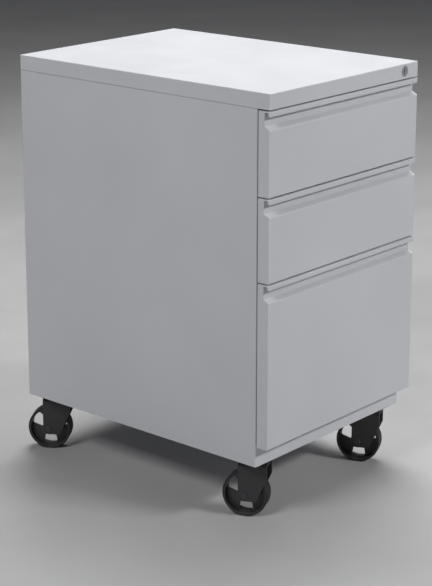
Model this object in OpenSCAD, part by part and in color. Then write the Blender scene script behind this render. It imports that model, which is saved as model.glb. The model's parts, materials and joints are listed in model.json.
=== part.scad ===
// Mobile filing cabinet: a folded steel case on four swivel casters, with two box drawers,
// one file drawer on ball slides, full-width recessed pulls and a gang lock in the top cap.
// Origin: floor level, under the middle of the plan outline, rear wheels included.
// +X is right, -Y is the drawer side, +Z is up.

/* [Case] */
// Width over the side panels
case_w = 381; // [340:1:480]
// Height of the case from its underside to its top
case_h = 595; // [490:1:720]
// Depth of the side panels
case_d = 510; // [420:1:640]
// Thickness of the case sheet
sheet_t = 1.2; // [0.8:0.1:1.5]
// Outside radius of the folds
fold_r = 1.8; // [1.6:0.1:3]
// Width of the return flanges on the side panels
flange_w = 14; // [13:0.5:18]
// Height of the top cap
cap_h = 25; // [24:0.5:40]
// Seam between the cap and the side panels
seam = 0.6; // [0.3:0.1:1.2]
// Height of the tab by which each side panel is fixed inside the cap
tab_h = 18; // [10:1:20]
// Height of the rail that shows under the file drawer
rail_show = 34; // [26:1:60]
// Height of the rail that is hidden behind the file drawer's front
rail_lap = 4; // [2:0.5:8]
// Depth of the rail's top flange
rail_d = 18; // [10:1:30]
// Height of the base pan's upturned edges
base_edge_h = 20; // [12:1:28]
// Height of the counterweight
weight_h = 20; // [5:1:30]
// Depth of the counterweight
weight_d = 140; // [60:1:200]

/* [Uprights] */
// Depth of the uprights, from the side panel to the slides
upright_d = 11.8; // [11:0.1:16]
// Width of an upright
upright_w = 30; // [20:1:50]
// Thickness of the upright sheet
upright_t = 1.5; // [1:0.1:2]

/* [Drawers] */
// Distance that the drawer fronts stand ahead of the side panels
front_d = 24; // [22:0.5:36]
// Gap round the drawer fronts
drawer_gap = 2.4; // [1.5:0.1:4]
// Height of the pull's lip
lip_h = 9.3; // [6:0.1:12]
// Radius of the lower corners at the lip's ends
lip_corner = 5; // [2:0.5:6]
// Thickness of the pull's lip
lip_t = 3.5; // [3.2:0.1:4.5]
// Thickness of the front's top edge over the pull
lip_top = 2; // [1.6:0.1:3]
// Depth of the pull's recess
pull_d = 10.25; // [9:0.25:14]
// Distance from the front's top to the foot of the recess
pull_h = 23; // [18:0.5:30]
// Height of the slope under the recess
shoulder_h = 5.5; // [3:0.5:10]
// Thickness of the drawer sheet
drawer_t = 1; // [0.8:0.1:1.2]
// Width of the returns along the drawer sides
return_w = 9; // [6:0.5:14]
// Distance from the front's top to the top of the drawer box
box_drop = 22; // [18:0.5:30]
// Distance from the front's bottom to the bottom of the drawer box
box_rise = 14; // [8:0.5:20]
// Space behind the drawer box, up to the back of the case
box_back_gap = 52; // [20:1:90]
// Height of the hanging-file rails over the drawer sides
file_rail_h = 10; // [6:0.5:12]
// Thickness of the hanging-file rails
file_rail_t = 1.6; // [1.2:0.1:2]

/* [Slides] */
// Space for a slide between the drawer box and the uprights
slide_t = 13; // [13:0.1:14]
// Height of the slide's outer member
slide_h = 45; // [42:1:50]
// Thickness of the slide sheet
slide_sheet = 1.2; // [1:0.1:1.3]
// Distance from the front edge of the side panels to the slide's front end
slide_inset = 7; // [6:0.5:20]
// Running gap between slide members
slide_gap = 0.4; // [0.3:0.05:0.6]

/* [Lock] */
// Distance from the right side panel to the lock's axis
lock_inset = 37; // [33:0.5:60]
// Diameter of the lock's face
lock_d = 18; // [16:0.5:19]
// Diameter of the turning plug
plug_d = 12; // [10:0.5:13]
// Depth of the lock's face behind the cap's front
lock_sink = 0.3; // [0.1:0.1:1]
// Travel of the lock bar
lock_throw = 8; // [6:0.5:8.5]
// Diameter of the cam's pin
pin_d = 4; // [3:0.25:4.5]
// Play of the pin in its slot
pin_play = 0.5; // [0.4:0.05:0.8]
// Thickness of the lock bar
bar_t = 3; // [2:0.25:3.5]
// Running gap in front of and behind the lock bar
bar_gap = 0.4; // [0.3:0.05:0.6]
// Height of a drawer catch and of the finger that blocks it
catch_h = 8; // [6:0.5:10]

/* [Casters] */
// Diameter of the wheels over the tyre
wheel_d = 75; // [60:1:100]
// Width of the wheels
wheel_w = 26; // [22:1:36]
// Height from the top of a wheel to the underside of the case
caster_rise = 26; // [22:0.5:40]
// Distance from the swivel's axis to the axle
trail = 14.5; // [8:0.5:24]
// Angle that the front casters are turned to
front_turn = 24; // [0:1:45]
// Angle that the rear casters are turned to
rear_turn = 33; // [0:1:45]
// Distance from the case's sides to the swivels
caster_inset_x = 39.5; // [34:0.5:80]
// Distance from the case's front and back to the swivels
caster_inset_y = 32; // [30:0.5:80]
// Width of the square mounting plates
plate_w = 56; // [54:1:64]
// Thickness of the mounting plates
plate_t = 3; // [2:0.25:4]
// Distance between bolts in a mounting plate
bolt_spacing = 40; // [39:0.5:46]
// Diameter of the mounting bolts
bolt_d = 6; // [5:0.5:6.5]
// Thickness of the fork's sheet
leg_t = 3; // [2:0.25:4]
// Gap between the wheel and the fork
wheel_gap = 1; // [0.5:0.1:2]
// Diameter of the axle
axle_d = 8; // [6:0.5:10]
// Distance that a fork leg reaches behind the axle
leg_heel = 10; // [7:0.5:14]
// Distance that the foot of a leg reaches ahead of the axle
leg_toe = 20; // [10:0.5:24]
// Distance that a leg reaches under the axle
leg_drop = 10; // [8:0.5:16]
// Height over the axle at which a leg starts to narrow
leg_knee_h = 31; // [20:1:34]
// Thickness of the tyre
tyre_t = 2.5; // [2:0.25:5]

/* [Hidden] */
$fn = 64;
c_paint = [0.72, 0.73, 0.75];
c_zinc = [0.62, 0.63, 0.65];
c_dark = [0.17, 0.17, 0.18];
c_rubber = [0.1, 0.1, 0.11];
c_iron = [0.3, 0.3, 0.31];

// Smallest amount by which a cut runs past the face that it opens
over = 1;
// Radial clearance of a turning shaft in its bore
fit = 0.05;
arc_steps = 5;

half_w = case_w / 2;
depth = case_d + front_d;
// Distance that the turned rear wheels reach out behind the case
rear_reach = max(0, (trail + wheel_d / 2) * cos(rear_turn) + wheel_w / 2 * sin(rear_turn) - caster_inset_y);
y_front = -(depth + rear_reach) / 2;
y_edge = y_front + front_d;
y_back = y_front + depth;
caster_h = wheel_d + caster_rise;
z_top = caster_h + case_h;
z_cap = z_top - cap_h;
z_side = z_cap - seam;
rail_h = rail_show + rail_lap;
module_h = (case_h - cap_h - rail_show) / 4;
x_wall = half_w - sheet_t;
x_upright = x_wall - upright_d;
x_box = x_upright - slide_t;
front_t = front_d - drawer_gap;
y_liner = y_front + front_t;
// Radius that is left for the back edge of the rolled lip
lip_bead = 0.6;
y_box_back = y_back - box_back_gap;
tab_lap = 25;
z_upright_0 = caster_h + sheet_t + base_edge_h;
z_upright_1 = z_side - tab_lap;

function file_drawer(n) = n == 3;
function front_top(n) = z_cap - drawer_gap - (n - 1) * module_h;
function front_h(n) = (file_drawer(n) ? 2 : 1) * module_h - drawer_gap;
function box_z0(n) = front_top(n) - front_h(n) + box_rise;
function box_z1(n) = front_top(n) - box_drop;
function slide_z(n) = (box_z0(n) + box_z1(n)) / 2;

slide_y0 = y_edge + slide_inset;
slide_y1 = y_box_back - drawer_t;
slide_flange = slide_t - 3;
middle_h = slide_h - 10;
inner_h = slide_h - 21;
middle_x1 = x_upright - slide_sheet - 1;
middle_x0 = x_upright - slide_flange + 1;
middle_web_x0 = (middle_x0 + middle_x1 - slide_sheet) / 2;
cage_share = 0.45;

lock_x = half_w - lock_inset;
lock_z = z_top - cap_h / 2;
nut_r = lock_d / 2 + 2;
nut_t = 1.5;
lock_face_y = y_front + lock_sink;
plug_sink = 0.3;
barrel_len = 14;
plug_end_y = lock_face_y + barrel_len + 2;
cam_t = 2;
cam_gap = 0.6;
cam_y1 = plug_end_y + cam_t;
cam_r = lock_throw / 2 / sin(45);
key_h = 8;
key_w = 2.2;
key_depth = 6;
arm_y0 = cam_y1 + cam_gap;
arm_y1 = arm_y0 + bar_t;
arm_wall = 3.4;
bar_y0 = y_edge + sheet_t + bar_gap;
bar_y1 = bar_y0 + bar_t;
bar_x0 = x_upright + upright_t;
bar_x1 = x_wall - sheet_t - 1.6;
upright_y0 = bar_y1 + bar_gap;
catch_rise = 2.5;
catch_rest_gap = 2;
catch_x1 = x_upright - 2;
finger_x0 = x_upright - 7.5;
catch_y0 = bar_y1 + 2.4;
catch_t = 1.5;
catch_len = 20;

function catch_z(n) = slide_z(n) + slide_h / 2 + catch_rise;
function finger_z(n) = catch_z(n) + catch_h + catch_rest_gap;

caster_x = half_w - caster_inset_x;
caster_y = [y_edge + caster_inset_y, y_back - caster_inset_y];
CASTERS = ["fl", "fr", "rl", "rr"];
function caster_at(i) = [i % 2 == 0 ? -caster_x : caster_x, caster_y[floor(i / 2)]];
wheel_r = wheel_d / 2;
rim_r = wheel_r - tyre_t;
rim_t = 2;
hub_r = 12;
web_t = 4;
window_r0 = hub_r + 1;
rim_in = rim_r - rim_t;
window_r1 = rim_in - 0.6;
window_outer_half = 22;
window_inner_half = 38;
race_r = 22;
race_h = 3;
race_gap = 0.3;
disc_t = 2;
z_plate = caster_h - plate_t;
z_race = z_plate - race_h;
z_crown_1 = z_race - race_gap - disc_t;
z_crown_0 = z_crown_1 - leg_t;
king_r = 6;
king_head_r = 9;
king_head_t = 3;
leg_x0 = wheel_w / 2 + wheel_gap;
leg_x1 = leg_x0 + leg_t;
leg_back = trail + leg_heel;
leg_front = 23;
leg_round = 5;
axle_head_r = 6;
axle_head_t = 2;
head_r = 5;
head_h = 2.5;
nut_h = 5;
nut_w_r = 5.8;
bolt_slack = 0.15;

function unit(v) = v / norm(v);
function wrap(a) = a > 180 ? a - 360 : a < -180 ? a + 360 : a;
function angle_of(v) = atan2(v[1], v[0]);

// Arc that rounds the corner b, between its neighbours a and c; b is [x, y, radius]
function corner(a, b, c) =
    b[2] == 0 ? [[b[0], b[1]]] :
    let (p = [b[0], b[1]],
         u = unit([a[0], a[1]] - p),
         v = unit([c[0], c[1]] - p),
         half = acos(u * v) / 2,
         centre = p + unit(u + v) * b[2] / sin(half),
         run = b[2] / tan(half),
         a0 = angle_of(p + u * run - centre),
         turn = wrap(angle_of(p + v * run - centre) - a0))
    [for (k = [0:arc_steps]) centre + b[2] * [cos(a0 + turn * k / arc_steps), sin(a0 + turn * k / arc_steps)]];

// Closed outline whose corners are given as [x, y, radius]
function rounded(pts) =
    let (n = len(pts))
    [for (i = [0:n - 1]) each corner(pts[(i + n - 1) % n], pts[i], pts[(i + 1) % n])];

// Box between two opposite corners
module block(a, b) {
    translate(a) cube(b - a);
}

// Outline in Y and Z, extruded along X from x0 to x1
module along_x(x0, x1) {
    translate([x0, 0, 0]) rotate([90, 0, 90]) linear_extrude(x1 - x0) children();
}

// Outline in X and Z, extruded along Y from y0 to y1
module along_y(y0, y1) {
    translate([0, y1, 0]) rotate([90, 0, 0]) linear_extrude(y1 - y0) children();
}

// Outline in X and Y, extruded along Z from z0 to z1
module along_z(z0, z1) {
    translate([0, 0, z0]) linear_extrude(z1 - z0) children();
}

module both_sides() {
    children();
    mirror([1, 0, 0]) children();
}

// ---- Case ----

// Side panel with front and back return flanges, and a tab that goes up inside the cap
module side_panel() {
    color(c_paint) {
        difference() {
            along_z(caster_h, z_side) polygon(rounded([
                [half_w - flange_w, y_edge, 0],
                [half_w, y_edge, fold_r],
                [half_w, y_back, fold_r],
                [half_w - flange_w, y_back, 0],
                [half_w - flange_w, y_back - sheet_t, 0],
                [x_wall, y_back - sheet_t, fold_r - sheet_t],
                [x_wall, y_edge + sheet_t, fold_r - sheet_t],
                [half_w - flange_w, y_edge + sheet_t, 0]
            ]));
            block([half_w - flange_w - over, y_edge - over, caster_h - over],
                  [x_wall, y_edge + fold_r, caster_h + rail_h]);
        }
        block([x_wall - sheet_t, upright_y0, z_side - tab_lap], [x_wall, y_back - 3 * sheet_t, z_side + tab_h]);
    }
}

module right_side() {
    side_panel();
}

module left_side() {
    mirror([1, 0, 0]) side_panel();
}

module back_panel() {
    color(c_paint)
        block([fold_r - half_w, y_back - 2 * sheet_t, caster_h],
              [half_w - fold_r, y_back - sheet_t, z_side]);
}

// Pan-shaped cap, level with the sides and the drawer fronts, with the lock's hole in its skirt
module top_cap() {
    low = z_cap - over;
    color(c_paint) {
        difference() {
            intersection() {
                along_z(z_cap, z_top) polygon(rounded([
                    [-half_w, y_front, fold_r], [half_w, y_front, fold_r],
                    [half_w, y_back, fold_r], [-half_w, y_back, fold_r]]));
                along_x(-half_w - over, half_w + over) polygon(rounded([
                    [y_front, low, 0], [y_front, z_top, fold_r],
                    [y_back, z_top, fold_r], [y_back, low, 0]]));
                along_y(y_front - over, y_back + over) polygon(rounded([
                    [-half_w, low, 0], [-half_w, z_top, fold_r],
                    [half_w, z_top, fold_r], [half_w, low, 0]]));
            }
            block([-x_wall, y_front + sheet_t, low], [x_wall, y_back - sheet_t, z_top - sheet_t]);
            translate([lock_x, y_front - over, lock_z])
                rotate([-90, 0, 0]) cylinder(d = lock_d + 2 * fit, h = sheet_t + 2 * over);
        }
        block([-x_wall, y_front + sheet_t, z_cap], [x_wall, y_front + front_d / 2, z_cap + sheet_t]);
    }
}

// Floor of the case, with upturned edges and the casters' bolt holes
module base_pan() {
    y0 = y_edge + sheet_t;
    y1 = y_back - 2 * sheet_t;
    color(c_paint) difference() {
        block([-x_wall, y0, caster_h], [x_wall, y1, z_upright_0]);
        block([sheet_t - x_wall, y0 + sheet_t, caster_h + sheet_t],
              [x_wall - sheet_t, y1 - sheet_t, z_upright_0 + over]);
        at_bolts() translate([0, 0, caster_h - over]) cylinder(d = bolt_d + 2 * bolt_slack, h = sheet_t + 2 * over);
    }
}

// Angle that closes the case under the file drawer
module front_rail() {
    z1 = caster_h + rail_h;
    x1 = x_upright - bar_gap;
    color(c_paint) {
        along_x(-x1, x1) polygon(rounded([
            [y_edge, caster_h, 0], [y_edge, z1, fold_r], [y_edge + rail_d, z1, 0],
            [y_edge + rail_d, z1 - sheet_t, 0],
            [y_edge + sheet_t, z1 - sheet_t, fold_r - sheet_t], [y_edge + sheet_t, caster_h, 0]]));
        both_sides() block([x1, y_edge, caster_h], [x_wall, y_edge + sheet_t, z1 - sheet_t]);
    }
}

// Channel that carries the slides, with its mouth to the side panel
module upright(y0) {
    y1 = y0 + upright_w;
    along_z(z_upright_0, z_upright_1) polygon([
        [x_upright, y0], [x_wall, y0], [x_wall, y0 + upright_t],
        [x_upright + upright_t, y0 + upright_t], [x_upright + upright_t, y1 - upright_t],
        [x_wall, y1 - upright_t], [x_wall, y1], [x_upright, y1]]);
}

module uprights() {
    color(c_zinc) both_sides() {
        upright(upright_y0);
        upright(slide_y1 - upright_w);
    }
}

module counterweight() {
    x1 = caster_x - plate_w / 2;
    y1 = y_back - front_d;
    z0 = caster_h + sheet_t;
    color(c_iron) block([-x1, y1 - weight_d, z0], [x1, y1, z0 + weight_h]);
}

// ---- Drawers ----

// Outline of a front, seen from its end: distance behind the front plane, height under its top
module front_outline(n) {
    h = front_h(n);
    polygon(rounded([
        [0, 0, fold_r],
        [0, -lip_h, lip_t - lip_bead],
        [lip_t, -lip_h, lip_bead - 0.1],
        [lip_t, -lip_top, 0.8],
        [pull_d, -lip_top, 0.8],
        [pull_d, -pull_h, 2],
        [0, -pull_h - shoulder_h, 2.5],
        [0, -h, fold_r],
        [front_t, -h, 0],
        [front_t, 0, 0]
    ]));
}

// Outline of the hollow in a front
module front_hollow(n) {
    slope = shoulder_h / pull_d;
    slope_t = sheet_t * norm([1, slope]);
    polygon([
        [pull_d + sheet_t, -sheet_t],
        [pull_d + sheet_t, -pull_h - slope_t + slope * sheet_t],
        [sheet_t, -pull_h - shoulder_h - slope_t + slope * sheet_t],
        [sheet_t, sheet_t - front_h(n)],
        [front_t + over, sheet_t - front_h(n)],
        [front_t + over, -sheet_t]
    ]);
}

// Folded front with a full-width pull that is open at both ends
module drawer_front(n) {
    z1 = front_top(n);
    color(c_paint) difference() {
        intersection() {
            translate([0, y_front, z1]) along_x(-half_w, half_w) front_outline(n);
            along_z(z1 - front_h(n) - over, z1 + over) polygon(rounded([
                [-half_w, y_front, fold_r], [half_w, y_front, fold_r],
                [half_w, y_liner + over, 0], [-half_w, y_liner + over, 0]]));
        }
        translate([0, y_front, z1]) along_x(-x_wall, x_wall) front_hollow(n);
        lip_corners(z1 - lip_h);
    }
}

// Cuts that round the lower corners at the lip's ends
module lip_corners(z_lip) {
    both_sides() along_y(y_front - over, y_front + lip_t + over) polygon(concat(
        corner([0, z_lip], [half_w, z_lip, lip_corner], [half_w, z_lip + half_w]),
        [[half_w + over, z_lip + lip_corner], [half_w + over, z_lip - over],
         [half_w - lip_corner, z_lip - over]]));
}

// Sheet that closes the back of a front and holds the drawer box
module drawer_liner(n) {
    z1 = front_top(n) - sheet_t;
    color(c_paint)
        block([-x_wall, y_liner - drawer_t, z1 + 2 * sheet_t - front_h(n)], [x_wall, y_liner, z1]);
}

// Two sides of a drawer box, with returns along the top and bottom
module drawer_sides(n) {
    z0 = box_z0(n);
    z1 = box_z1(n);
    color(c_paint) both_sides() along_y(y_liner, y_box_back) polygon(rounded([
        [x_box, z0, 1.2], [x_box, z1, 1.5], [x_box - return_w, z1, 0],
        [x_box - return_w, z1 - drawer_t, 0], [x_box - drawer_t, z1 - drawer_t, 0],
        [x_box - drawer_t, z0 + drawer_t, 0], [x_box - return_w, z0 + drawer_t, 0],
        [x_box - return_w, z0, 0]]));
}

module drawer_bottom(n) {
    x1 = x_box - drawer_t;
    z0 = box_z0(n) + drawer_t;
    color(c_paint) block([-x1, y_liner, z0], [x1, y_box_back, z0 + drawer_t]);
}

module drawer_back(n) {
    x1 = x_box - drawer_t;
    color(c_paint)
        block([-x1, y_box_back - drawer_t, box_z0(n) + 2 * drawer_t], [x1, y_box_back, box_z1(n) - drawer_t]);
}

// Angle on the drawer's right side, blocked by a finger of the lock bar
module drawer_catch(n) {
    z0 = catch_z(n);
    color(c_zinc) {
        block([x_box, catch_y0, z0], [x_box + catch_t, catch_y0 + catch_len, z0 + catch_h]);
        block([x_box, catch_y0, z0], [catch_x1, catch_y0 + catch_t, z0 + catch_h]);
    }
}

// Angles along the file drawer's sides, for hanging folders
module file_rails() {
    z0 = box_z1(3);
    x0 = x_box - return_w;
    color(c_zinc) both_sides() along_y(y_liner + 2, y_box_back - 2) polygon([
        [x0, z0], [x_box - fold_r, z0], [x_box - fold_r, z0 + file_rail_t],
        [x0 + file_rail_t, z0 + file_rail_t], [x0 + file_rail_t, z0 + file_rail_h], [x0, z0 + file_rail_h]]);
}

// ---- Slides ----

// C section whose web is at x_web and whose mouth faces x_mouth
module slide_channel(x_web, x_mouth, h, y0, y1) {
    dir = sign(x_mouth - x_web);
    inner = x_web + dir * slide_sheet;
    along_y(y0, y1) polygon([
        [x_web, -h / 2], [x_mouth, -h / 2], [x_mouth, slide_sheet - h / 2], [inner, slide_sheet - h / 2],
        [inner, h / 2 - slide_sheet], [x_mouth, h / 2 - slide_sheet], [x_mouth, h / 2], [x_web, h / 2]]);
}

module slide_outer(n) {
    color(c_zinc) both_sides() translate([0, 0, slide_z(n)])
        slide_channel(x_upright, x_upright - slide_flange, slide_h, slide_y0, slide_y1);
}

// I section that carries the ball cages of both stages
module slide_middle(n) {
    len = slide_y1 - slide_y0;
    outer_cage_h = (slide_h - 2 * slide_sheet - middle_h) / 2 - slide_gap;
    inner_cage_h = (middle_h - 2 * slide_sheet - inner_h) / 2 - slide_gap;
    web_x1 = middle_web_x0 + slide_sheet;
    color(c_zinc) both_sides() translate([0, 0, slide_z(n)]) {
        block([middle_web_x0, slide_y0, -middle_h / 2], [web_x1, slide_y1, middle_h / 2]);
        for (s = [-1, 1]) scale([1, 1, s]) {
            block([middle_x0, slide_y0, middle_h / 2 - slide_sheet], [middle_x1, slide_y1, middle_h / 2]);
            block([middle_x0 + 1, slide_y1 - cage_share * len, middle_h / 2],
                  [middle_x1 - 1, slide_y1, middle_h / 2 + outer_cage_h]);
            block([middle_x0, slide_y0, middle_h / 2 - slide_sheet - inner_cage_h],
                  [middle_web_x0 - 0.6, slide_y0 + cage_share * len, middle_h / 2 - slide_sheet]);
        }
    }
}

module slide_inner(n) {
    color(c_zinc) both_sides() translate([0, 0, slide_z(n)])
        slide_channel(x_box, middle_web_x0 - slide_gap, inner_h, slide_y0, slide_y1);
}

// ---- Lock ----

// Cylinder along Y round the lock's axis
module on_lock(y0, y1, r) {
    translate([lock_x, y0, lock_z]) rotate([-90, 0, 0]) cylinder(r = r, h = y1 - y0);
}

module lock_barrel() {
    skirt_y = y_front + sheet_t;
    color(c_zinc) difference() {
        union() {
            on_lock(lock_face_y, lock_face_y + barrel_len, lock_d / 2);
            on_lock(skirt_y, skirt_y + nut_t, nut_r);
        }
        on_lock(lock_face_y - over, lock_face_y + barrel_len + over, plug_d / 2 + fit);
    }
}

module lock_plug() {
    y0 = lock_face_y + plug_sink;
    color(c_zinc) difference() {
        on_lock(y0, plug_end_y, plug_d / 2);
        block([lock_x - key_w / 2, y0 - over, lock_z - key_h / 2],
              [lock_x + key_w / 2, y0 + key_depth, lock_z + key_h / 2]);
    }
}

// Arm on the plug's end, whose pin drives the lock bar
module lock_cam() {
    pin_r = pin_d / 2;
    color(c_zinc) translate([lock_x, plug_end_y, lock_z]) rotate([0, -45, 0]) rotate([-90, 0, 0]) {
        cylinder(r = plug_d / 2 - 1, h = cam_t);
        translate([0, -pin_r - 1.5, 0]) cube([cam_r, 2 * pin_r + 3, cam_t]);
        translate([cam_r, 0, 0]) {
            cylinder(r = pin_r + 1.5, h = cam_t);
            cylinder(r = pin_r, h = arm_y1 - plug_end_y + 0.5);
        }
    }
}

// Bar behind the right front flange: the cam lowers it, and its fingers then block the catches
module lock_bar() {
    pin_z = lock_z + lock_throw / 2;
    slot_h = pin_d + 2 * pin_play;
    arm_z0 = pin_z - slot_h / 2 - arm_wall;
    arm_z1 = pin_z + slot_h / 2 + arm_wall;
    slot_x0 = lock_x + cam_r * cos(45) - slot_h / 2;
    slot_x1 = lock_x + cam_r + slot_h / 2;
    color(c_zinc) {
        block([bar_x0, bar_y0, finger_z(3)], [bar_x1, bar_y1, arm_z1]);
        block([bar_x0, arm_y0, arm_z0], [bar_x1, bar_y1, arm_z1]);
        difference() {
            block([slot_x0 - arm_wall, arm_y0, arm_z0], [bar_x1, arm_y1, arm_z1]);
            block([slot_x0, arm_y0 - over, pin_z - slot_h / 2], [slot_x1, arm_y1 + over, pin_z + slot_h / 2]);
        }
        for (n = [1:3]) block([finger_x0, bar_y0, finger_z(n)], [bar_x1, bar_y1, finger_z(n) + catch_h]);
    }
}

// ---- Casters ----

// Places children at caster i, turned as the casters stand
module at_caster(i) {
    translate(caster_at(i)) rotate(i < 2 ? front_turn : rear_turn) children();
}

module at_bolts() {
    for (i = [0:3], sx = [-1, 1], sy = [-1, 1])
        translate(caster_at(i) + bolt_spacing / 2 * [sx, sy]) children();
}

module caster_plates() {
    color(c_dark) difference() {
        for (i = [0:3]) translate([0, 0, z_plate]) {
            translate(caster_at(i) - plate_w / 2 * [1, 1]) cube([plate_w, plate_w, plate_t]);
        }
        at_bolts() translate([0, 0, z_plate - over]) cylinder(d = bolt_d + 2 * bolt_slack, h = plate_t + 2 * over);
    }
}

// Upper races, each with the kingpin that the fork turns on
module caster_bearings() {
    color(c_dark) for (i = [0:3]) at_caster(i) {
        translate([0, 0, z_race]) cylinder(r = race_r, h = race_h);
        translate([0, 0, z_crown_0 - race_gap]) cylinder(r = king_r, h = z_race - z_crown_0 + race_gap);
        translate([0, 0, z_crown_0 - race_gap - king_head_t]) cylinder(r = king_head_r, h = king_head_t);
    }
}

// Bolts with low round heads, and the nuts above the base pan
module caster_bolts() {
    z_nut = caster_h + sheet_t;
    color(c_zinc) at_bolts() {
        translate([0, 0, z_plate - head_h]) cylinder(r = head_r, h = head_h);
        translate([0, 0, z_plate]) cylinder(d = bolt_d, h = z_nut + nut_h + over - z_plate);
        difference() {
            translate([0, 0, z_nut]) cylinder(r = nut_w_r, h = nut_h, $fn = 6);
            translate([0, 0, z_nut - over]) cylinder(d = bolt_d + 2 * fit, h = nut_h + 2 * over);
        }
    }
}

// Side view of a fork leg: upright behind, slanting in ahead from the knee to a flat foot
module leg_outline() {
    polygon(rounded([
        [leg_back, wheel_r - leg_drop, leg_round],
        [leg_back, z_crown_1, 0],
        [-leg_front, z_crown_1, 0],
        [-leg_front, wheel_r + leg_knee_h, leg_round],
        [trail - leg_toe, wheel_r - leg_drop, leg_round]]));
}

module fork(i) {
    color(c_dark) at_caster(i) difference() {
        union() {
            both_sides() along_x(leg_x0, leg_x1) leg_outline();
            block([-leg_x1, -leg_front, z_crown_0], [leg_x1, leg_back, z_crown_1]);
            translate([0, 0, z_crown_1]) cylinder(r = race_r, h = disc_t);
        }
        translate([0, 0, z_crown_0 - over]) cylinder(r = king_r + fit, h = leg_t + disc_t + 2 * over);
        translate([-leg_x1 - over, trail, wheel_r])
            rotate([0, 90, 0]) cylinder(r = axle_d / 2 + fit, h = 2 * (leg_x1 + over));
    }
}

// Axle bolt through both legs and the hub
module axle(i) {
    color(c_zinc) at_caster(i) translate([0, trail, wheel_r]) rotate([0, 90, 0]) {
        translate([0, 0, -leg_x1]) cylinder(d = axle_d, h = 2 * leg_x1);
        for (z = [-leg_x1 - axle_head_t, leg_x1]) translate([0, 0, z]) cylinder(r = axle_head_r, h = axle_head_t);
    }
}

function polar(r, a) = r * [cos(a), sin(a)];
function polar_corner(r, a, round) = concat(polar(r, a), [round]);

// Opening between two spokes, with round corners
module window_outline() {
    r0 = window_r0 / cos(window_inner_half / 2);
    polygon(rounded(concat(
        [polar_corner(window_r1, -window_outer_half, 4)],
        [for (a = [-8, 0, 8]) polar_corner(window_r1, a, 0)],
        [polar_corner(window_r1, window_outer_half, 4), polar_corner(r0, window_inner_half, 3)],
        [polar_corner(window_r0, 0, 0), polar_corner(r0, -window_inner_half, 3)])));
}

// Wheel centre: rim, hub and a thin web with three windows
module wheel(i) {
    rim_w = wheel_w - 2;
    color(c_dark) at_caster(i) translate([0, trail, wheel_r]) rotate([0, 90, 0]) difference() {
        rotate_extrude() polygon([
            [axle_d / 2 + fit, -wheel_w / 2], [hub_r, -wheel_w / 2], [hub_r, -web_t / 2],
            [rim_in, -web_t / 2], [rim_in, -rim_w / 2], [rim_r, -rim_w / 2],
            [rim_r, rim_w / 2], [rim_in, rim_w / 2], [rim_in, web_t / 2],
            [hub_r, web_t / 2], [hub_r, wheel_w / 2], [axle_d / 2 + fit, wheel_w / 2]]);
        for (k = [0:2]) rotate(120 * k) translate([0, 0, -web_t]) linear_extrude(2 * web_t) window_outline();
    }
}

// Tyre with rounded shoulders
module tyre(i) {
    h = wheel_w / 2;
    color(c_rubber) at_caster(i) translate([0, trail, wheel_r]) rotate([0, 90, 0])
        rotate_extrude() polygon(rounded([
            [rim_r, -h + 1, 0], [wheel_r - 1.2, -h, 0.8], [wheel_r, -h + 2.5, 1.8],
            [wheel_r, h - 2.5, 1.8], [wheel_r - 1.2, h, 0.8], [rim_r, h - 1, 0]]));
}

left_side();
right_side();
back_panel();
top_cap();
base_pan();
front_rail();
uprights();
counterweight();
lock_barrel();
lock_plug();
lock_cam();
lock_bar();
caster_plates();
caster_bearings();
caster_bolts();
file_rails();
for (n = [1:3]) {
    drawer_front(n);
    drawer_liner(n);
    drawer_sides(n);
    drawer_back(n);
    drawer_bottom(n);
    drawer_catch(n);
    slide_outer(n);
    slide_middle(n);
    slide_inner(n);
}
for (i = [0:3]) {
    fork(i);
    axle(i);
    wheel(i);
    tyre(i);
}
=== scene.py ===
"""Looks of the mobile filing cabinet: powder-coated steel, zinc slides, nickel lock, charcoal casters."""
import json
import math
import bmesh
import bpy
from mathutils import Matrix, Vector


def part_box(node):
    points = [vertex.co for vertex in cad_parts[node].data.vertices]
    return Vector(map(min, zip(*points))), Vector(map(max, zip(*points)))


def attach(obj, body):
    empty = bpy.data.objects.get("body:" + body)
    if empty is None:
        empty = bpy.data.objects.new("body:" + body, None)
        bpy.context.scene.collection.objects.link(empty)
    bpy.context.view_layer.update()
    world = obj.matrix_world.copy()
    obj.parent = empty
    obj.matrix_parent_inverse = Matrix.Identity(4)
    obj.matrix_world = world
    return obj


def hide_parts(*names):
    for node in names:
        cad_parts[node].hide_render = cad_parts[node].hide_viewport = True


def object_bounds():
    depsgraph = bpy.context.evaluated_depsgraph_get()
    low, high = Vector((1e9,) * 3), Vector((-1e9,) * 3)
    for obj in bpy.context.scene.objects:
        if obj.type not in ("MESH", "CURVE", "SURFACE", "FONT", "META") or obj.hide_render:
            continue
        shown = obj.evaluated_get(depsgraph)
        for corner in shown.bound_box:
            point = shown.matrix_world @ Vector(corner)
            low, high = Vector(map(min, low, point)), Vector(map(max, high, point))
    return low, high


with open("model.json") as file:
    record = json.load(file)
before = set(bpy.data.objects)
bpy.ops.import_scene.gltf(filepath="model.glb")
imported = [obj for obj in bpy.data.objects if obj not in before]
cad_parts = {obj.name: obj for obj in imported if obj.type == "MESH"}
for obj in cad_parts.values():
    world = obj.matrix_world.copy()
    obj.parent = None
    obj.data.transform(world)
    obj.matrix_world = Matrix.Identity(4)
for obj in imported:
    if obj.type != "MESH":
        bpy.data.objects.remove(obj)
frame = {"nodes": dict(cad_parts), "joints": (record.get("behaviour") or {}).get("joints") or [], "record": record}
cad_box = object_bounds()
NODES = frame["nodes"]
MM = 0.001

# ---------------------------------------------------------------- materials


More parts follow.
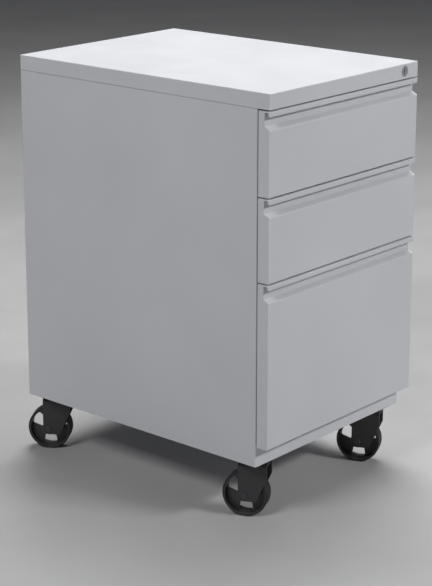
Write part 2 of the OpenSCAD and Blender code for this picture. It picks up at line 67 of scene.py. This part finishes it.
class Nodes:
    """Short calls for building one node material."""

    def __init__(self, name):
        self.mat = bpy.data.materials.new(name)
        self.mat.use_nodes = True
        self.tree = self.mat.node_tree
        self.shader = self.tree.nodes["Principled BSDF"]
        self.point = self.add("ShaderNodeTexCoord").outputs["Object"]

    def add(self, kind, **settings):
        made = self.tree.nodes.new(kind)
        for key, value in settings.items():
            setattr(made, key, value)
        return made

    def link(self, source, target):
        self.tree.links.new(source, target)

    def plug(self, socket, value):
        if isinstance(value, bpy.types.NodeSocket):
            self.link(value, socket)
        else:
            socket.default_value = value

    def noise(self, scale, detail=2.0, rough=0.5, distortion=0.0, stretch=(1, 1, 1)):
        mapping = self.add("ShaderNodeMapping")
        mapping.inputs["Scale"].default_value = stretch
        self.link(self.point, mapping.inputs["Vector"])
        made = self.add("ShaderNodeTexNoise")
        self.link(mapping.outputs[0], made.inputs["Vector"])
        settings = {"Scale": scale, "Detail": detail, "Roughness": rough, "Distortion": distortion}
        for key, value in settings.items():
            made.inputs[key].default_value = value
        return made.outputs["Fac"]

    def spread(self, value, low, high, to_low=0.0, to_high=1.0):
        made = self.add("ShaderNodeMapRange", clamp=True)
        self.plug(made.inputs["Value"], value)
        for key, number in (("From Min", low), ("From Max", high), ("To Min", to_low), ("To Max", to_high)):
            made.inputs[key].default_value = number
        return made.outputs["Result"]

    def math(self, operation, a, b=0.0):
        made = self.add("ShaderNodeMath", operation=operation)
        self.plug(made.inputs[0], a)
        self.plug(made.inputs[1], b)
        return made.outputs[0]

    def mix(self, factor, a, b):
        made = self.add("ShaderNodeMix", data_type="RGBA")
        self.plug(made.inputs[0], factor)
        self.plug(made.inputs[6], a if isinstance(a, bpy.types.NodeSocket) else (*a, 1))
        self.plug(made.inputs[7], b if isinstance(b, bpy.types.NodeSocket) else (*b, 1))
        return made.outputs[2]

    def edges(self, radius):
        """0 on flat metal and up to 1 along edges and folds."""
        soft = self.add("ShaderNodeBevel", samples=4)
        soft.inputs["Radius"].default_value = radius
        hard = self.add("ShaderNodeNewGeometry")
        dot = self.add("ShaderNodeVectorMath", operation="DOT_PRODUCT")
        self.link(soft.outputs[0], dot.inputs[0])
        self.link(hard.outputs["Normal"], dot.inputs[1])
        return self.spread(dot.outputs["Value"], 0.99, 0.86)

    def bump(self, height, strength, distance, below=None):
        made = self.add("ShaderNodeBump")
        made.inputs["Strength"].default_value = strength
        made.inputs["Distance"].default_value = distance
        self.link(height, made.inputs["Height"])
        if below is not None:
            self.link(below, made.inputs["Normal"])
        return made.outputs["Normal"]

    def finish(self, colour, roughness, normal=None, **fixed):
        self.plug(self.shader.inputs["Base Color"], colour)
        self.plug(self.shader.inputs["Roughness"], roughness)
        if normal is not None:
            self.link(normal, self.shader.inputs["Normal"])
        for key, value in fixed.items():
            self.shader.inputs[key.replace("_", " ")].default_value = value
        return self.mat


def shade(colour, factor):
    """The colour made darker or lighter."""
    return tuple(c * factor for c in colour)


def powder_coat(name, colour, roughness, peel=0.5, grain=0.03):
    """Baked powder coat: orange-peel skin, a fine speckle, faint unevenness, and lighter edges and folds that are
    partly rubbed, thinned coat and partly a painted highlight.
    """
    n = Nodes(name)
    cloud = n.noise(5.0, detail=3.0)
    speckle = n.noise(2600.0, detail=1.0)
    base = n.mix(n.spread(cloud, 0.3, 0.7), shade(colour, 1 - grain), shade(colour, 1 + grain))
    base = n.mix(n.spread(speckle, 0.62, 0.74, 0.0, 0.35), base, shade(colour, 1.22))
    base = n.mix(n.spread(speckle, 0.38, 0.28, 0.0, 0.30), base, shade(colour, 0.74))
    # Edges and folds painted lighter in noisy patches: partly rubbed wear, partly a painted highlight along the
    # folds.
    worn_and_highlit_edges = n.math("MULTIPLY", n.edges(0.0014), n.spread(n.noise(38.0, detail=4.0), 0.42, 0.68))
    base = n.mix(n.math("MULTIPLY", worn_and_highlit_edges, 0.35), base, shade(colour, 1.18))
    handled = n.spread(n.noise(11.0, detail=5.0, rough=0.6, distortion=0.4), 0.35, 0.75, -0.05, 0.06)
    rough = n.math("ADD", handled, roughness)
    rough = n.math("SUBTRACT", rough, n.math("MULTIPLY", worn_and_highlit_edges, 0.08))
    skin = n.bump(n.noise(520.0, detail=2.0, rough=0.45), peel * 0.4, 0.0002)
    skin = n.bump(speckle, 0.05, 0.0001, below=skin)
    return n.finish(base, rough, skin, Metallic=0.0)


def plated(name, colour, roughness, along=(1, 1, 1), metallic=1.0):
    """Plated or brushed metal: drawn streaks, cloudy plating and brighter edges, partly rubbed wear and partly a
    painted highlight.
    """
    n = Nodes(name)
    tone = 0.1
    streaks = n.noise(900.0, detail=3.0, rough=0.6, stretch=along)
    cloud = n.noise(30.0, detail=4.0, rough=0.6, distortion=0.6)
    base = n.mix(n.spread(cloud, 0.3, 0.72), shade(colour, 1 - tone), shade(colour, 1 + tone))
    base = n.mix(n.spread(streaks, 0.45, 0.7, 0.0, 0.4), base, shade(colour, 1 - 1.6 * tone))
    # Every edge painted brighter: rubbed plating and a painted highlight.
    base = n.mix(n.math("MULTIPLY", n.edges(0.0006), 0.5), base, shade(colour, 1.25))
    rough = n.math("ADD", n.spread(streaks, 0.3, 0.7, -0.07, 0.09), roughness)
    return n.finish(base, rough, n.bump(streaks, 0.08, 0.0001), Metallic=metallic)


def moulded(name, colour, roughness, specular, grain=700.0):
    """Moulded nylon or rubber: fine grain, dust in the lows and a lighter edge, partly scuffs and partly a painted
    highlight.
    """
    n = Nodes(name)
    fine = n.noise(grain, detail=3.0)
    dust = n.noise(60.0, detail=5.0, rough=0.65)
    base = n.mix(n.spread(dust, 0.45, 0.8, 0.0, 0.5), colour, shade(colour, 1.9))
    # Edges painted lighter in patches: scuffs and a painted highlight.
    scuffed_and_highlit_edges = n.math("MULTIPLY", n.edges(0.0012), n.spread(dust, 0.35, 0.6, 0.1, 0.6))
    base = n.mix(scuffed_and_highlit_edges, base, shade(colour, 2.6))
    rough = n.math("ADD", n.spread(dust, 0.3, 0.7, -0.06, 0.14), roughness)
    return n.finish(base, rough, n.bump(fine, 0.18, 0.0002), **{"Specular IOR Level": specular})


def cast_iron(name):
    """Raw iron: coarse grit with a bloom of rust."""
    n = Nodes(name)
    grit = n.noise(420.0, detail=4.0, rough=0.7)
    rust = n.noise(45.0, detail=5.0, rough=0.7, distortion=0.5)
    base = n.mix(n.spread(grit, 0.3, 0.7), (0.055, 0.053, 0.052), (0.12, 0.118, 0.115))
    base = n.mix(n.spread(rust, 0.6, 0.78, 0.0, 0.5), base, (0.16, 0.085, 0.05))
    return n.finish(base, n.spread(grit, 0.3, 0.7, 0.55, 0.8), n.bump(grit, 0.5, 0.0004), Metallic=0.35)


def pale_floor():
    """Plain studio floor with a faint cloudiness."""
    n = Nodes("pale_floor")
    cloud = n.noise(2.2, detail=6.0, rough=0.6)
    base = n.mix(n.spread(cloud, 0.35, 0.68), (0.42, 0.42, 0.423), (0.47, 0.47, 0.47))
    rough = n.spread(n.noise(9.0, detail=5.0), 0.3, 0.7, 0.5, 0.62)
    return n.finish(base, rough, n.bump(n.noise(90.0, detail=5.0), 0.05, 0.001))


PAINT = (0.572, 0.580, 0.608)
case_paint = powder_coat("case_paint", PAINT, 0.48)
drawer_paint = powder_coat("drawer_paint", PAINT, 0.48)
zinc = plated("zinc_steel", (0.62, 0.63, 0.64), 0.32, along=(1, 0.04, 1))
nickel = plated("lock_nickel", (0.40, 0.40, 0.41), 0.42, metallic=0.55)
iron = cast_iron("raw_iron")
caster_paint = powder_coat("caster_paint", (0.034, 0.033, 0.036), 0.44, peel=0.6, grain=0.08)
black_zinc = plated("axle_steel", (0.075, 0.075, 0.08), 0.38, metallic=0.6)
nylon = moulded("wheel_centre", (0.030, 0.029, 0.032), 0.36, specular=0.55)
rubber = moulded("tyre_rubber", (0.021, 0.020, 0.022), 0.6, specular=0.35, grain=900.0)
MATERIALS = {
    "case_paint": case_paint, "drawer_paint": drawer_paint, "zinc_steel": zinc, "lock_nickel": nickel,
    "raw_iron": iron, "caster_paint": caster_paint, "axle_steel": black_zinc, "wheel_centre": nylon,
    "tyre_rubber": rubber,
}

# ---------------------------------------------------------------- mesh helpers


def dress(obj, material):
    """Gives the object one material."""
    obj.data.materials.clear()
    obj.data.materials.append(material)


def smooth(mesh):
    """Every face smooth; the bevel and the weighted normals keep flat faces flat."""
    mesh.polygons.foreach_set("use_smooth", [True] * len(mesh.polygons))
    mesh.update()


def ease(obj, width, segments=2, angle=34):
    """Takes the knife edge off: a small bevel on every sharp edge, with flat faces kept flat."""
    mod = obj.modifiers.new("eased_edges", "BEVEL")
    mod.width = width
    mod.segments = segments
    mod.limit_method = "ANGLE"
    mod.angle_limit = math.radians(angle)
    weighted = obj.modifiers.new("flat_faces", "WEIGHTED_NORMAL")
    weighted.weight = 80


def join_facets(obj):
    """Welds the split vertices of a CAD mesh and joins the triangles that lie in one plane."""
    weld = obj.modifiers.new("weld", "WELD")
    weld.merge_threshold = 0.002 * MM
    flat = obj.modifiers.new("flat_facets", "DECIMATE")
    flat.decimate_type = "DISSOLVE"
    flat.angle_limit = math.radians(0.4)


def add_piece(name, mesh_data, slot, body, width=0.0, replaced=()):
    """Makes a piece out of a bmesh, gives it its finish and lets it ride on a body."""
    mesh = bpy.data.meshes.new(name)
    bmesh.ops.recalc_face_normals(mesh_data, faces=mesh_data.faces)
    mesh_data.to_mesh(mesh)
    mesh_data.free()
    smooth(mesh)
    piece = bpy.data.objects.new(name, mesh)
    bpy.context.scene.collection.objects.link(piece)
    dress(piece, MATERIALS[slot])
    if width:
        ease(piece, width)
    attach(piece, body)
    if replaced:
        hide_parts(*replaced)


def lathe(mesh_data, profile, place, steps=40, closed=False):
    """Adds a solid of revolution: (radius, height) points turned round the local Z axis of place."""
    rings = []
    for radius, height in profile:
        count = 1 if radius == 0 else steps
        rings.append([mesh_data.verts.new(place @ Vector((
            radius * math.cos(2 * math.pi * k / steps), radius * math.sin(2 * math.pi * k / steps), height)))
            for k in range(count)])
    pairs = list(zip(rings, rings[1:]))
    if closed:
        pairs.append((rings[-1], rings[0]))
    for a, b in pairs:
        for k in range(steps):
            j = (k + 1) % steps
            corners = dict.fromkeys((a[k % len(a)], a[j % len(a)], b[j % len(b)], b[k % len(b)]))
            mesh_data.faces.new(list(corners))


def arc(cx, cy, radius, start, end, steps=5):
    """Points of an arc, with angles in degrees."""
    turns = [math.radians(start + (end - start) * k / steps) for k in range(steps + 1)]
    return [(cx + radius * math.cos(t), cy + radius * math.sin(t)) for t in turns]


def frame_at(origin, z_axis, x_hint=(1, 0, 0)):
    """Placement whose local Z lies along z_axis."""
    z = Vector(z_axis).normalized()
    x = Vector(x_hint)
    x = (x - x.dot(z) * z).normalized()
    y = z.cross(x)
    turn = Matrix((x, y, z)).transposed().to_4x4()
    return Matrix.Translation(origin) @ turn


def in_local(node, place):
    """A CAD node's vertices in the local frame of place."""
    back = place.inverted()
    return [back @ v.co for v in NODES[node].data.vertices]


# ---------------------------------------------------------------- CAD nodes

# How wide the eased edge of each finish is, in millimetres.
EASE = {"case_paint": 0.25, "drawer_paint": 0.25, "zinc_steel": 0.15, "lock_nickel": 0.2, "raw_iron": 1.0,
        "caster_paint": 0.4, "axle_steel": 0.3, "wheel_centre": 0.5, "tyre_rubber": 0.2}
for part in frame["record"]["subparts"]:
    node = NODES[part["node"]]
    slot = part["material_slot"]
    dress(node, MATERIALS[slot])
    if node.data.attributes.get("custom_normal"):
        node.data.attributes.remove(node.data.attributes["custom_normal"])
    smooth(node.data)
    join_facets(node)
    ease(node, EASE[slot] * MM)

# ---------------------------------------------------------------- casters

JOINTS = {joint["name"]: joint for joint in frame["joints"]}
CORNERS = ("fl", "fr", "rl", "rr")
SHEET = 3.0 * MM
SHOULDER_R = 6.0 * MM
LEG_COLUMNS = 10
# Rows of a leg as shares of its height, close together at the round foot and at the knee.
LEG_ROWS = (0, 0.004, 0.012, 0.025, 0.045, 0.075, 0.12, 0.3, 0.5, 0.6, 0.64, 0.68, 0.72, 0.8, 1)
# Further than this before or behind the swivel's axis, the race is narrower than the legs.
RACE_CLEAR_Y = 21 * MM
# Points nearer than SAME_PLACE count as one place, and heights nearer than LEVEL as one height.
SAME_PLACE = 0.01 * MM
LEVEL = 1e-9
# The lower race is a ring on the crown, with a hole a little wider than the kingpin.
RACE_HOLE_R = 6.2 * MM
RACE_RIM = 0.6 * MM
RACE_SHOULDER_R = 12 * MM
RACE_LIP_R = 10 * MM
# Washers and rivets start this far off the face that they sit on.
SKIN = 0.02 * MM
AXLE_SHAFT_R = 3.9 * MM
WASHER_R = 5.9 * MM
WASHER_T = 0.6 * MM
HEX_R = 5.3 * MM
HEX_SIDES = 6


def outline_at(points, z):
    """Lowest and highest Y of a convex outline of (y, z) points at height z."""
    hits = []
    for (y0, z0), (y1, z1) in zip(points, points[1:] + points[:1]):
        if min(z0, z1) - LEVEL <= z <= max(z0, z1) + LEVEL:
            hits += [y0, y1] if abs(z1 - z0) < LEVEL else [y0 + (y1 - y0) * (z - z0) / (z1 - z0)]
    return min(hits), max(hits)


def convex_outline(points):
    """Convex outline of scattered (y, z) points, in order."""
    points = sorted(set(points))
    outline = []
    for sweep in (points, points[::-1]):
        chain = []
        for p in sweep:
            while len(chain) > 1 and ((chain[-1][0] - chain[-2][0]) * (p[1] - chain[-2][1])
                                      - (chain[-1][1] - chain[-2][1]) * (p[0] - chain[-2][0])) <= 0:
                chain.pop()
            chain.append(p)
        outline += chain[:-1]
    return outline


def pressed_fork(corner):
    """The fork as one folded sheet: two legs, round shoulders and a crown with a turned race rim.

    Returns the distance from the middle of the fork to the outside of a leg.
    """
    swivel = JOINTS[f"swivel_{corner}_turn"]
    axle = JOINTS[f"wheel_{corner}_spin"]
    x_axis = Vector(axle["axis"]).normalized()
    pivot = Vector((swivel["pos_m"][0], swivel["pos_m"][1], 0))
    place = frame_at(pivot, (0, 0, 1), x_axis)
    local = in_local(f"fork_{corner}", place)
    half = max(abs(v.x) for v in local if abs(v.y) > RACE_CLEAR_Y)
    leg = convex_outline([(round(v.y, 6), round(v.z, 6)) for v in local if abs(v.x - half) < SAME_PLACE])
    foot = min(z for y, z in leg)
    crown = max(z for y, z in leg)
    rise = crown - SHOULDER_R - foot
    heights = [foot + rise * t for t in LEG_ROWS]
    path = []
    for radius, inset in ((SHOULDER_R, 0.0), (SHOULDER_R - SHEET, SHEET)):
        side = [(half - inset, z) for z in heights]
        side += arc(half - SHOULDER_R, crown - SHOULDER_R, radius, 0, 90)[1:]
        path.append(side + [(-x, z) for x, z in reversed(side)])
    mesh_data = bmesh.new()
    sheets = []
    for line in path:
        rows = []
        for (x, z), (_, z_outer) in zip(line, path[0]):
            y0, y1 = outline_at(leg, z_outer)
            rows.append([mesh_data.verts.new(place @ Vector((x, y0 + (y1 - y0) * k / LEG_COLUMNS, z)))
                         for k in range(LEG_COLUMNS + 1)])
        sheets.append(rows)
    outer, inner = sheets
    last = len(outer) - 1
    for i in range(last):
        for rows in sheets:
            for k in range(LEG_COLUMNS):
                mesh_data.faces.new((rows[i][k], rows[i + 1][k], rows[i + 1][k + 1], rows[i][k + 1]))
        for k in (0, LEG_COLUMNS):
            mesh_data.faces.new((outer[i][k], outer[i + 1][k], inner[i + 1][k], inner[i][k]))
    for i in (0, last):
        for k in range(LEG_COLUMNS):
            mesh_data.faces.new((outer[i][k], outer[i][k + 1], inner[i][k + 1], inner[i][k]))
    race_top = max(v.z for v in local)
    race_r = max(math.hypot(v.x, v.y) for v in local if v.z > race_top - SAME_PLACE)
    rim = RACE_RIM
    seat = 0.05 * MM
    top = place @ Matrix.Translation((0, 0, crown))
    height = race_top - crown
    lathe(mesh_data, [(RACE_HOLE_R, seat), (race_r - rim, seat), (race_r, rim), (race_r, height - rim),
                      (race_r - rim, height), (race_r - 4 * rim, height), (race_r - 6 * rim, height - rim),
                      (RACE_SHOULDER_R, height - rim), (RACE_LIP_R, height), (RACE_HOLE_R, height)],
          top, 56, closed=True)
    add_piece(f"pressed_fork_{corner}", mesh_data, "caster_paint", f"swivel_{corner}", 0.35 * MM,
              [f"fork_{corner}"])
    return half


def axle_bolt(corner, half):
    """Axle with a chamfered hex head at each end and a washer under each head."""
    joint = JOINTS[f"wheel_{corner}_spin"]
    low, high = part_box(f"axle_{corner}")
    centre = (low + high) / 2
    axis = Vector(joint["axis"]).normalized()
    place = frame_at(centre, axis, (0, 0, 1))
    reach = max(v.z for v in in_local(f"axle_{corner}", place))
    cap = reach - half
    mesh_data = bmesh.new()
    lathe(mesh_data, [(0, -half), (AXLE_SHAFT_R, -half), (AXLE_SHAFT_R, half), (0, half)], place)
    for side in (-1, 1):
        face = frame_at(place @ Vector((0, 0, side * half)), axis * side, (0, 0, 1))
        lathe(mesh_data, [(0, SKIN), (WASHER_R, SKIN), (WASHER_R, WASHER_T - 0.15 * MM),
                          (WASHER_R - 0.2 * MM, WASHER_T), (0, WASHER_T)], face, 40)
        lathe(mesh_data, [(0, WASHER_T - 0.05 * MM), (HEX_R, WASHER_T - 0.05 * MM), (HEX_R, cap - 0.35 * MM),
                          (HEX_R - 0.7 * MM, cap - 0.05 * MM), (3.0 * MM, cap), (0, cap - 0.15 * MM)],
              face, HEX_SIDES)
    add_piece(f"axle_bolt_{corner}", mesh_data, "axle_steel", f"swivel_{corner}", 0.15 * MM,
              [f"axle_{corner}"])


for corner in CORNERS:
    axle_bolt(corner, pressed_fork(corner))

# ---------------------------------------------------------------- lock


def lock_bezel():
    """Rolled rim round the lock's face, with a fine groove outside the plug."""
    plug_low, plug_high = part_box("lock_plug")
    centre = (plug_low + plug_high) / 2
    centre.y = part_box("lock_barrel")[0].y
    place = frame_at(centre, (0, -1, 0))
    outer = 8.9 * MM
    inner = 6.35 * MM
    back = -0.3 * MM
    mesh_data = bmesh.new()
    lathe(mesh_data, [(inner, back), (inner, 0.0), *arc(inner + 0.5 * MM, 0.0, 0.24 * MM, 150, 60, 3),
                      *arc(outer - 0.8 * MM, -0.02 * MM, 0.26 * MM, 95, 20, 4), (outer, -0.12 * MM),
                      (outer, back)], place, 64, closed=True)
    add_piece("lock_bezel", mesh_data, "lock_nickel", "cabinet")


def keyway_wards():
    """The warded strips that narrow the keyway behind the plug's face."""
    low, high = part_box("lock_plug")
    centre = (low + high) / 2
    mesh_data = bmesh.new()
    off_centre = 0.75 * MM
    depth = 3.4 * MM
    size = Matrix.Diagonal((0.7 * MM, 5.0 * MM, 0.8 * MM, 1))
    for side, height in ((-1, 1.6), (1, -1.2), (-1, -2.6)):
        spot = (centre.x + side * off_centre, low.y + depth, centre.z + height * MM)
        bmesh.ops.create_cube(mesh_data, size=1, matrix=Matrix.Translation(spot) @ size)
    add_piece("keyway_wards", mesh_data, "lock_nickel", "lock_cylinder", 0.1 * MM)


lock_bezel()
keyway_wards()

# ---------------------------------------------------------------- rivets and screws


def rivet_profile(radius, height):
    """Blind rivet: a low dome with the mandrel's dimple."""
    return [(0, height * 0.35), (radius * 0.3, height * 0.35), (radius * 0.34, height * 0.92),
            (radius * 0.5, height), (radius * 0.8, height * 0.72), (radius, height * 0.2), (radius, 0.0)]


def rivets(name, places, direction, slot, body, radius=3.2, height=1.0):
    """One piece of many low heads facing along direction, with radius and height in millimetres."""
    mesh_data = bmesh.new()
    profile = [(0, SKIN)] + [(r * MM, h * MM) for r, h in reversed(rivet_profile(radius, height))]
    for spot in places:
        lathe(mesh_data, profile, frame_at(spot, direction), 28)
    add_piece(name, mesh_data, slot, body)


def spaced(first, last, count):
    """Evenly spaced numbers from first to last."""
    return [first + (last - first) * k / (count - 1) for k in range(count)]


def beads(name, spots, half_run, radius, height, slot, body):
    """Long pressed stiffening ribs with soft shoulders and round ends, standing on a floor panel."""
    turns = [(math.pi * k / 8, 1) for k in range(9)] + [(math.pi * (1 + k / 8), -1) for k in range(9)]
    mesh_data = bmesh.new()
    for spot in spots:
        rings = [[mesh_data.verts.new(spot + Vector((radius * share * math.cos(a),
                                                     end * half_run + radius * share * math.sin(a),
                                                     height * rise))) for a, end in turns]
                 for share, rise in ((1.0, 0.02), (0.92, 0.12), (0.72, 0.66), (0.5, 0.95), (0.3, 1.0))]
        for a, b in zip(rings, rings[1:]):
            for k in range(len(turns)):
                j = (k + 1) % len(turns)
                mesh_data.faces.new((a[k], a[j], b[j], b[k]))
        mesh_data.faces.new(rings[0][::-1])
        mesh_data.faces.new(rings[-1])
    add_piece(name, mesh_data, slot, body)


# Sheet of the slides' members; the inner one lies flat on the drawer's side.
SLIDE_SHEET = 1.2 * MM
# How far rivets, screws and ribs stay from the ends of the piece that they are on.
RIVET_ABOVE, RIVET_BELOW = 30 * MM, 45 * MM
SCREW_ABOVE, SCREW_BELOW = 22 * MM, 16 * MM
SLIDE_SCREW_FRONT, SLIDE_SCREW_BACK = 22 * MM, 40 * MM
RIB_END = 55 * MM
side_low, side_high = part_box("right_side")
flange_mid = side_low.x + (side_high.x - side_low.x) * 0.42
rivets("back_rivets", [Vector((sx * flange_mid, side_high.y, z)) for sx in (-1, 1)
                       for z in spaced(side_low.z + RIVET_ABOVE, side_high.z - RIVET_BELOW, count=6)],
       (0, 1, 0), "case_paint", "cabinet")

for number in (1, 2, 3):
    liner_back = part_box(f"drawer_{number}_liner")[1].y
    box_low, box_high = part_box(f"drawer_{number}_sides")
    spots = [Vector((sx * box_high.x * 0.78, liner_back, z)) for sx in (-1, 1)
             for z in (box_low.z + SCREW_ABOVE, box_high.z - SCREW_BELOW)]
    rivets(f"front_screws_{number}", spots, (0, 1, 0), "zinc_steel", f"drawer_{number}",
           radius=4.2, height=1.8)
    floor_low, floor_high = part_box(f"drawer_{number}_bottom")
    floor_mid = (floor_low + floor_high) / 2
    rib_spots = [Vector((floor_high.x * share, floor_mid.y, floor_high.z)) for share in (-0.6, 0, 0.6)]
    rib_half = (floor_high.y - floor_low.y) / 2 - RIB_END
    beads(f"floor_ribs_{number}", rib_spots, rib_half, radius=7 * MM, height=1.1 * MM,
          slot="drawer_paint", body=f"drawer_{number}")
    rail_low, rail_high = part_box(f"slide_inner_{number}")
    web_x = box_high.x + SLIDE_SHEET
    for side, sx in (("left", -1), ("right", 1)):
        rivets(f"slide_screws_{side}_{number}",
               [Vector((sx * web_x, y, (rail_low.z + rail_high.z) / 2))
                for y in spaced(rail_low.y + SLIDE_SCREW_FRONT, rail_high.y - SLIDE_SCREW_BACK, count=5)],
               (sx, 0, 0), "zinc_steel", f"drawer_{number}", radius=3.6, height=1.3)

# ---------------------------------------------------------------- light, floor and camera


def area_light(name, place, target, size, power):
    """Rectangular soft light at place that faces target."""
    data = bpy.data.lights.new(name, "AREA")
    data.shape = "RECTANGLE"
    data.size, data.size_y = size
    data.energy = power
    light = bpy.data.objects.new(name, data)
    light.location = place
    light.rotation_mode = "QUATERNION"
    light.rotation_quaternion = (Vector(target) - Vector(place)).to_track_quat("-Z", "Y")
    bpy.context.scene.collection.objects.link(light)


low, high = cad_box
middle = (low + high) / 2
area_light("overhead", place=(1.1, 0.7, 3.1), target=(0, 0, 0.6), size=(1.8, 1.8), power=89)
area_light("front", place=(0.9, -3.4, 2.55), target=middle, size=(1.0, 0.35), power=80)
area_light("left", place=(-3.1, -0.3, 3.1), target=middle, size=(1.4, 1.0), power=72)

world = bpy.data.worlds.new("studio")
world.use_nodes = True
sky = world.node_tree.nodes["Background"]
sky.inputs["Color"].default_value = (0.93, 0.95, 1.0, 1)
sky.inputs["Strength"].default_value = 0.08
bpy.context.scene.world = world
bpy.context.scene.view_settings.view_transform = "Standard"

bpy.ops.mesh.primitive_plane_add(size=40)
floor = bpy.context.object
floor.name = "floor"
dress(floor, pale_floor())

# From the lowest corner of the object's box.
CAMERA_OFFSET = Vector((-2.0245, -1.6424, 1.1911))
YAW = math.radians(49.203)
PITCH = math.radians(14.473)
camera_data = bpy.data.cameras.new("camera")
camera = bpy.data.objects.new("camera", camera_data)
bpy.context.scene.collection.objects.link(camera)
camera_data.lens = 110.72
camera_data.sensor_width = 36
camera_data.sensor_fit = "AUTO"
camera_data.shift_y = -0.14
camera.location = low + CAMERA_OFFSET
aim = Vector((math.sin(YAW) * math.cos(PITCH), math.cos(YAW) * math.cos(PITCH), -math.sin(PITCH)))
camera.rotation_mode = "QUATERNION"
camera.rotation_quaternion = aim.to_track_quat("-Z", "Y")
bpy.context.scene.camera = camera
